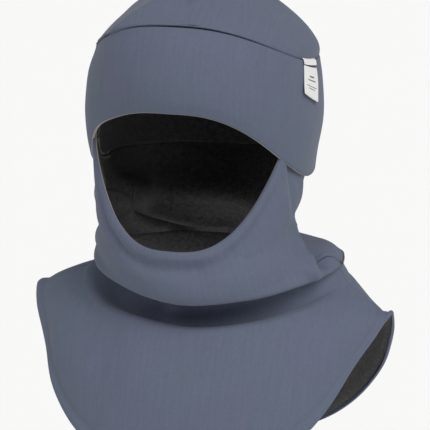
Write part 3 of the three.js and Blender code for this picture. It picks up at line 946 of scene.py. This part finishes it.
# How quickly the cloth rises again beside a dart, and the size of the dart's puckered tip.
DART_LINE = 0.0016
DART_TIP = 0.006


def head_sway(points):
    """Unevenness that the crown and the cuff share, so that their cloths stay apart."""
    return sway(points, (0.045, 0.045, 0.06), 0.0012, 11)


def crown_relief(s):
    """Four darts run down from the crown's top, each to a puckered tip."""
    def relief(place):
        p = place["points"]
        reach = np.hypot(p[..., 0] - s.head.shift, p[..., 1])
        total = head_sway(p)
        total += swell(p, *FACET_RIDGE) + swell(p, *FACET_FLAT)
        arc = place["from_top"]
        for quarter in range(4):
            turn = place["angles"] - s.head.dart_turn - quarter * math.pi / 2
            off = np.where(np.cos(turn) > 0, reach * np.abs(np.sin(turn)), 1)
            fade = 1 - ramp(arc, 0.8 * s.head.dart_length, s.head.dart_length)
            sunk = fade * ramp(arc, 0, 0.012)
            total -= s.head.dart_depth * np.exp(-off / DART_LINE) * sunk
            total += band(off, 0.35 * s.head.dart_depth, 0.0065, 0.0045) * sunk
            tip = np.hypot(off, arc - s.head.dart_length)
            total -= band(tip, 0.25 * s.head.dart_depth, 0, DART_TIP)
        return total
    return relief


def cuff_relief(place):
    """The cuff's cloth is a little uneven."""
    return head_sway(place["points"])


HOOD_RADIUS = 0.09


def unrolled(angles, z):
    """Places on the hood as (distance round, height)."""
    return np.stack([HOOD_RADIUS * angles, z], -1)


def marks(*places):
    """A path on the unrolled hood from (degrees, height in metres) pairs."""
    return [(HOOD_RADIUS * math.radians(turn), z) for turn, z in places]


# The hood's folds: a path along each, how far it stands out or lies in, and its width.
JAW_RIDGE = (marks((70, -0.172), (72, -0.182), (73, -0.189), (69, -0.197), (63, -0.204)),
             0.0050, 0.0050)
JAW_POCKET = (marks((84, -0.188), (80, -0.193), (76, -0.199)), -0.0080, 0.0055)
ROLL_VALLEY = (marks((80, -0.193), (76, -0.198), (71, -0.203)), -0.0022, 0.0045)
JAW_VALLEY = (marks((65, -0.126), (66, -0.142), (68, -0.160)), -0.0020, 0.0045)
CHEEK_RIDGE = (marks((78, -0.140), (80, -0.158), (77, -0.172)), 0.0018, 0.0050)
RIGHT_BULGE = (marks((-76, -0.153), (-72, -0.161)), 0.0035, 0.009)
RIGHT_GROOVE = (marks((-30, -0.180), (-12, -0.192), (10, -0.193)), -0.0024, 0.010)
ROLL_CREASE = (marks((-60, -0.196), (-40, -0.206), (-15, -0.213)), -0.0008, 0.006)
HOOD_FOLDS = (JAW_RIDGE, JAW_POCKET, ROLL_VALLEY, JAW_VALLEY, CHEEK_RIDGE, RIGHT_BULGE,
              RIGHT_GROOVE, ROLL_CREASE)
PUCKER = (marks((28, -0.180), (36, -0.187), (43, -0.184)), -0.0010, 0.0035)
# The bead along a rim or hem and the groove below it: height, distance from the edge and
# width.
RIM_BEAD = (0.0014, 0.0035, 0.0035)
RIM_GROOVE = (-0.0018, 0.012, 0.0045)
HEM_BEAD = (0.0009, 0.0035, 0.0030)
HEM_GROOVE = (-0.0008, 0.0085, 0.0028)


def hood_relief(s):
    """The chin guard's rim, and the folds at the jaw, the cheek and the neck roll."""
    def relief(place):
        p = place["points"]
        turn = turned_from_front(place)
        spot = unrolled(turn, p[..., 2])
        face = 1 - ramp(np.abs(turn), s.neck.face_angle - 0.12, s.neck.face_angle + 0.02)
        top = place["from_top"]
        total = sway(p, (0.04, 0.04, 0.035), 0.0011, 5)
        shallower = 1 - 0.6 * ramp(np.abs(turn), 0.45, 0.9)
        total += face * (band(top, *RIM_BEAD) + shallower * band(top, *RIM_GROOVE))
        for fold in HOOD_FOLDS:
            total += swell(spot, *fold)
        total += crease(spot, *PUCKER)
        seam = np.minimum(place["from_left"], place["from_right"])
        return total + seam_dip(seam, s)
    return relief


# The lining's long fold, and how far its puffs stand out and its crease lies in.
LINING_FOLD = marks((-60, -0.150), (-88, -0.1685), (-108, -0.181), (-127, -0.196),
                    (-145, -0.207), (-165, -0.215), (-175, -0.218))
LINING_PUFF = (0.0055, 0.013)
LINING_CREASE = (-0.0053, 0.0030)


def turned_from_front(place):
    """Each point's angle from the front, negative at the wearer's right."""
    return np.arctan2(np.sin(place["angles"]), np.cos(place["angles"]))


def lining_slack(place):
    """The lining's slack at the nape: two puffs with a long crease between them."""
    spot = unrolled(turned_from_front(place), place["points"][..., 2])
    return swell(spot, LINING_FOLD, *LINING_PUFF) + swell(spot, LINING_FOLD, *LINING_CREASE)


# The upright fold in the hollow under the chin: its angle, the hollow's radius and row
# there, and how far the fold stands out.
NECK_FOLD = math.radians(-10.5)
HOLLOW_RADIUS = 0.06
HOLLOW_ROW = 7.0
NECK_FOLD_HEIGHT = 0.0075


def bib_relief(s):
    """The bibs hang in faint upright waves. The front one has a fold in its hollow."""
    def relief(place):
        p = place["points"]
        upright = np.stack([place["angles"], 0 * p[..., 0], p[..., 2]], -1)
        wave = sway(upright, (0.28, 1, 0.16), 0.0022, 21)
        low = ramp(place["t"], 9.5, 11.5)
        total = wave * low + sway(p, (0.05, 0.05, 0.05), 0.0008, 8)
        aside = HOLLOW_RADIUS * (place["angles"] - NECK_FOLD)
        near = bell(aside, 0.0055) * bell(place["t"] - HOLLOW_ROW, 0.9)
        total += NECK_FOLD_HEIGHT * near * (place["angles"] < 1)
        hem = place["from_bottom"]
        total += band(hem, *HEM_BEAD) + band(hem, *HEM_GROOVE)
        seam = np.minimum(place["from_left"], place["from_right"])
        return total + seam_dip(seam, s)
    return relief


SIDE = math.pi / 2
SEAM_SWING = math.radians(20)
SEAM_SWING_ROW = 3.42


def side_seam(t):
    """Angle of the side seam at a row: it swings forward above the neck roll."""
    return SIDE - SEAM_SWING * bell(t - SEAM_SWING_ROW, 0.75)


def hood_span(front):
    """The angles between which the front or the back of the hood runs."""
    if front:
        return (lambda t: -side_seam(t)), side_seam
    return side_seam, (lambda t: 2 * math.pi - side_seam(t))


def finish_panel(outer, lining, nodes):
    """Dresses both layers of a panel and replaces their plain nodes."""
    dress(outer, "softshell")
    dress(lining, "fleece")
    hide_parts(*[node + "_shell" for node in nodes])
    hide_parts(*[node + "_lining" for node in nodes])


def ride_root(*pieces):
    """Lets pieces move with the root body."""
    for piece in pieces:
        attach(piece, "root")


# Height of each panel along its cloth, for its mesh rows, and the rows between which its
# lining cuts a tight bend short.
CROWN_PATH = 0.19
CROWN_BRIDGE = (3.9, 6.6)
CUFF_PATH = 0.075
HOOD_PATH = 0.13
HOOD_BRIDGE = (4.5, SPLIT)
BIB_PATH = 0.20
BIB_BRIDGE = (8.5, 10.8)
# The row position just below the chin guard's first row, where its rim is rolled.
RIM_ROW = 0.03


class BALACLAVA_OT_crown(bpy.types.Operator):
    """Sews the darted crown"""
    bl_idname = "balaclava.crown"
    bl_label = "Crown"

    def execute(self, context):
        s = settings()
        surface = crown_surface(s)
        last = float(len(crown_rings(s)) - 1)
        rows = count_rows(s, CROWN_PATH)
        grid = span_grid(s.cloth.columns, rows, -math.pi, math.pi, 0.0, last)
        outer, lining = sew_panel("crown", surface, grid, crown_relief(s), s, closed=True,
                                  bridge=CROWN_BRIDGE)
        ride_root(outer, lining)
        finish_panel(outer, lining, ["crown"])
        declare(surface(*grid))
        return {"FINISHED"}


class BALACLAVA_OT_cuff(bpy.types.Operator):
    """Sews the turned-up cuff"""
    bl_idname = "balaclava.cuff"
    bl_label = "Cuff"

    def execute(self, context):
        s = settings()
        surface = cuff_surface(s)
        last = float(len(CUFF_SHAPE) - 1)
        rows = count_rows(s, CUFF_PATH)
        grid = span_grid(s.cloth.columns, rows, -math.pi, math.pi, 0.0, last)
        outer, lining = sew_panel("cuff", surface, grid, cuff_relief, s,
                                  rims=("top", "bottom"), bare=("bottom",), closed=True)
        ride_root(outer, lining)
        finish_panel(outer, lining, ["cuff"])
        declare(surface(*grid))
        return {"FINISHED"}


def add_hood_panel(name, front, rims):
    """Sews the chin guard or the hood's back."""
    s = settings()
    surface = hood_surface(s)
    start, end = hood_span(front)
    rows = count_rows(s, HOOD_PATH)
    grid = span_grid(s.cloth.columns // 2, rows, start, end, RIM_ROW, SPLIT)
    outer, lining = sew_panel(name, surface, grid, hood_relief(s), s, rims=rims, bare=rims,
                              inner=lining_slack, bridge=HOOD_BRIDGE)
    ride_root(outer, lining)
    finish_panel(outer, lining, [name])
    declare(surface(*grid))


class BALACLAVA_OT_chin_guard(bpy.types.Operator):
    """Sews the chin guard below the face opening"""
    bl_idname = "balaclava.chin_guard"
    bl_label = "Chin guard"

    def execute(self, context):
        add_hood_panel("chin_guard", True, ("top",))
        return {"FINISHED"}


class BALACLAVA_OT_hood_back(bpy.types.Operator):
    """Sews the hood's back"""
    bl_idname = "balaclava.hood_back"
    bl_label = "Hood back"

    def execute(self, context):
        add_hood_panel("hood_back", False, ())
        return {"FINISHED"}


def add_bib(name, front):
    """Sews the yoke and bib of one side as one length of cloth."""
    s = settings()
    surface = hood_surface(s)
    start, end = hood_span(front)
    rows = count_rows(s, BIB_PATH)
    grid = span_grid(s.cloth.columns // 2, rows, start, end, SPLIT, float(HEM_ROW))
    outer, lining = sew_panel(name + "_bib", surface, grid, bib_relief(s), s, rims=("bottom",),
                              bridge=BIB_BRIDGE)
    finish_panel(outer, lining, [name + "_yoke", name + "_bib"])
    for piece in (outer, lining):
        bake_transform(piece)
    declare(surface(*grid))


class BALACLAVA_OT_front_bib(bpy.types.Operator):
    """Sews the front yoke and bib"""
    bl_idname = "balaclava.front_bib"
    bl_label = "Front bib"

    def execute(self, context):
        add_bib("front", True)
        return {"FINISHED"}


class BALACLAVA_OT_back_bib(bpy.types.Operator):
    """Sews the back yoke and bib"""
    bl_idname = "balaclava.back_bib"
    bl_label = "Back bib"

    def execute(self, context):
        add_bib("back", False)
        return {"FINISHED"}


def label_span(s):
    """Angles across the label."""
    half = 0.5 * s.label.width / s.head.front
    return np.linspace(s.label.turn - half, s.label.turn + half, LABEL_COLUMNS + 1)


def rows_at(surface, angles, distances):
    """Row positions at distances down the surface from its top edge, for each angle."""
    steps = np.linspace(0, 2, 201)[:, None] + 0 * angles[None, :]
    walked, _ = lengths(surface(angles[None, :] + 0 * steps, steps))
    found = [np.interp(distances[:, i], walked[:, i], steps[:, i]) for i in range(len(angles))]
    return np.stack(found, 1)


# Air between the label and the cuff, and between the label's tab and its stitched end.
LABEL_GAP = 0.0005
TAB_GAP = 0.0003
LABEL_COLUMNS = 72
# Each woven bar: its top, its bottom and half its width, as shares of the label.
LABEL_BARS = ((0.30, 0.34, 0.16), (0.42, 0.46, 0.26), (0.62, 0.645, 0.34), (0.70, 0.725, 0.22))


def bar_shares(across, down):
    """1 inside one of the label's plain woven bars and 0 outside."""
    inside_bar = np.zeros(across.shape)
    for top, bottom, half in LABEL_BARS:
        inside_bar += (down > top) & (down < bottom) & (np.abs(across - 0.5) < half)
    return inside_bar


def weave_label_tab(s):
    """The hanging part of the label: it leans a little, and its free corners curl."""
    surface = cuff_surface(s)
    rows = 80
    angles = label_span(s)
    across = np.linspace(0, 1, LABEL_COLUMNS + 1)[None, :]
    down = np.linspace(0, 1, rows + 1)[:, None]
    start = s.label.fold + TAB_GAP
    distances = start + s.label.height * down + s.label.slant * across * (0.4 + down)
    turned = angles[None, :] + s.label.lean * down / s.head.front
    t = rows_at(surface, angles, distances)
    point = surface(turned, t)
    normal = outward(surface, turned, t)
    curl = 0.0018 * down**3 * (1 - across) ** 2 + 0.0010 * down**3 * across**2
    lift = LABEL_GAP + s.label.thickness + curl + 0.0006 * np.sin(math.pi * down) * (across - 0.3)
    return point + normal * lift[..., None], bar_shares(across + 0 * down, down + 0 * across)


def weave_label_fold(s):
    """The stitched end, which goes over the cuff's top edge into the fold."""
    surface = cuff_surface(s)
    angles = label_span(s)
    inset = LABEL_GAP + s.label.thickness
    outside = np.linspace(s.label.fold - TAB_GAP, 0.0003, 8)[:, None] + 0 * angles[None, :]
    t = rows_at(surface, angles, outside)
    wide = angles[None, :] + 0 * t
    rows = [surface(wide, t) + inset * outward(surface, wide, t)]
    edge = surface(angles, 0 * angles)
    normal = outward(surface, angles, 0 * angles)
    past = unit(edge - surface(angles, 0 * angles + 0.02))
    radius = 0.5 * s.cloth.stack
    start = edge + inset * normal
    rows.append(np.stack(rolled(start, normal, past, radius + inset, range(20, 181, 20))))
    under = edge - normal * (2 * radius + inset)
    rows.append(np.stack([under - past * step for step in (0.0015, 0.003, 0.0045)]))
    points = np.concatenate(rows)
    return points, np.zeros(points.shape[:2])


class BALACLAVA_OT_label(bpy.types.Operator):
    """Weaves the small side label and its stitched end"""
    bl_idname = "balaclava.label"
    bl_label = "Label"

    def execute(self, context):
        s = settings()
        for name, maker, body, node, held in (
                ("side_label", weave_label_tab, "label", "label_tab", "hung"),
                ("side_label_fold", weave_label_fold, "root", "label_fold", "folded")):
            points, bars = maker(s)
            tape = weave_sheet(name, points, s.label.thickness, bars)
            dress(tape, "label")
            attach(tape, body)
            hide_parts(node)
            flat, area = flat_size(points)
        return {"FINISHED"}


# -------------------------------------------------------------------- studio
# Each light: its name, degrees round the object and above the horizon, strength, softness
# in degrees, and colour.
LIGHTS = (
    ("key_light", 48, 48, 2.45, 42, (1, 0.995, 0.985)),
    ("fill_light", -50, 50, 0.64, 70, (0.98, 0.99, 1)),
)
ROOM_LIGHT = 0.24
BACKDROP = 0.93
LENS = 145.1
SENSOR = 36
LENS_SHIFT = (0.014, 0.0814)
FLOOR_SIZE = 60


def add_sun(name, turn, height, strength, softness, tint):
    """A soft sun that shines from a turn round the object and a height above the horizon."""
    bpy.ops.object.select_all(action="DESELECT")
    bpy.ops.object.light_add(type="SUN", location=(0, 0, 2))
    lamp = bpy.context.object
    lamp.name = name
    a, e = math.radians(turn), math.radians(height)
    toward = Vector((math.sin(a) * math.cos(e), -math.cos(a) * math.cos(e), math.sin(e)))
    lamp.rotation_euler = toward.to_track_quat("Z", "Y").to_euler()
    lamp.data.energy = strength
    lamp.data.angle = math.radians(softness)
    lamp.data.color = tint


def pale_world(level):
    """Even light from all round, and the floor's own brightness behind the object."""
    world = bpy.data.worlds.new("studio")
    bpy.context.scene.world = world
    world.use_nodes = True
    nodes = world.node_tree.nodes
    links = world.node_tree.links
    lit = nodes["Background"]
    lit.inputs["Color"].default_value = (1, 1, 1, 1)
    lit.inputs["Strength"].default_value = level
    seen = nodes.new("ShaderNodeBackground")
    seen.inputs["Color"].default_value = (BACKDROP, BACKDROP, BACKDROP, 1)
    path = nodes.new("ShaderNodeLightPath")
    mix = nodes.new("ShaderNodeMixShader")
    links.new(path.outputs["Is Camera Ray"], mix.inputs["Fac"])
    links.new(lit.outputs["Background"], mix.inputs[1])
    links.new(seen.outputs["Background"], mix.inputs[2])
    links.new(mix.outputs["Shader"], nodes["World Output"].inputs["Surface"])


def add_floor(s):
    """The plain floor, far below the hem."""
    bpy.ops.object.select_all(action="DESELECT")
    low = cad_box[0].z - s.studio.floor_drop
    bpy.ops.mesh.primitive_plane_add(size=FLOOR_SIZE, location=(0, 0, low))
    floor = bpy.context.object
    floor.name = "studio_floor"
    material, nodes, links, shader = new_material("studio_floor")
    place = nodes.new("ShaderNodeTexCoord").outputs["Object"]
    grain = noise_texture(nodes, links, place, 3, 2)
    base = tuple(s.colours.floor)
    tone = blend_colours(nodes, links, grain, base, tuple(0.995 * c for c in base))
    links.new(tone, shader.inputs["Base Color"])
    shader.inputs["Roughness"].default_value = 1.0
    shader.inputs["Specular IOR Level"].default_value = 0.0
    floor.data.materials.append(material)


def add_camera(s):
    """The camera, a long lens a little above and to the wearer's left."""
    a, e = s.studio.azimuth, s.studio.elevation
    back = Vector((math.sin(a) * math.cos(e), -math.cos(a) * math.cos(e), math.sin(e)))
    target = Vector((0, 0, s.studio.target))
    bpy.ops.object.camera_add(location=target + back * s.studio.distance)
    camera = bpy.context.object
    camera.name = "studio_camera"
    camera.rotation_euler = back.to_track_quat("Z", "Y").to_euler()
    camera.data.sensor_width = SENSOR
    camera.data.lens = LENS
    camera.data.shift_x, camera.data.shift_y = LENS_SHIFT
    camera.data.clip_end = 200
    bpy.context.scene.camera = camera


class BALACLAVA_OT_studio(bpy.types.Operator):
    """Sets up the floor, the soft light and the camera"""
    bl_idname = "balaclava.studio"
    bl_label = "Studio"

    def execute(self, context):
        s = settings()
        add_camera(s)
        add_floor(s)
        pale_world(ROOM_LIGHT)
        for light in LIGHTS:
            add_sun(*light)
        context.scene.view_settings.view_transform = "Standard"
        return {"FINISHED"}


class BALACLAVA_PT_parts(bpy.types.Panel):
    """Lists the balaclava's pieces"""
    bl_idname = "BALACLAVA_PT_parts"
    bl_label = "Balaclava"
    bl_space_type = "VIEW_3D"
    bl_region_type = "UI"
    bl_category = "Balaclava"

    def draw(self, context):
        for operator in OPERATORS:
            self.layout.operator(operator.bl_idname)


GROUPS = (BalaclavaHead, BalaclavaCuff, BalaclavaNeck, BalaclavaBib, BalaclavaLabel,
          BalaclavaCloth, BalaclavaColours, BalaclavaStudio, BalaclavaSettings)
OPERATORS = (BALACLAVA_OT_studio, BALACLAVA_OT_crown, BALACLAVA_OT_cuff, BALACLAVA_OT_chin_guard,
             BALACLAVA_OT_hood_back, BALACLAVA_OT_front_bib, BALACLAVA_OT_back_bib,
             BALACLAVA_OT_label)


def register():
    """Registers the settings, the operators and the panel."""
    for item in (*GROUPS, *OPERATORS, BALACLAVA_PT_parts):
        bpy.utils.register_class(item)
    bpy.types.Scene.balaclava = PointerProperty(type=BalaclavaSettings)


def unregister():
    """Takes the panel, the operators and the settings away again."""
    del bpy.types.Scene.balaclava
    for item in reversed((*GROUPS, *OPERATORS, BALACLAVA_PT_parts)):
        bpy.utils.unregister_class(item)


def main():
    register()
    bpy.ops.balaclava.studio()
    bpy.ops.balaclava.crown()
    bpy.ops.balaclava.cuff()
    bpy.ops.balaclava.chin_guard()
    bpy.ops.balaclava.hood_back()
    bpy.ops.balaclava.front_bib()
    bpy.ops.balaclava.back_bib()
    bpy.ops.balaclava.label()


if __name__ == "__main__":
    main()
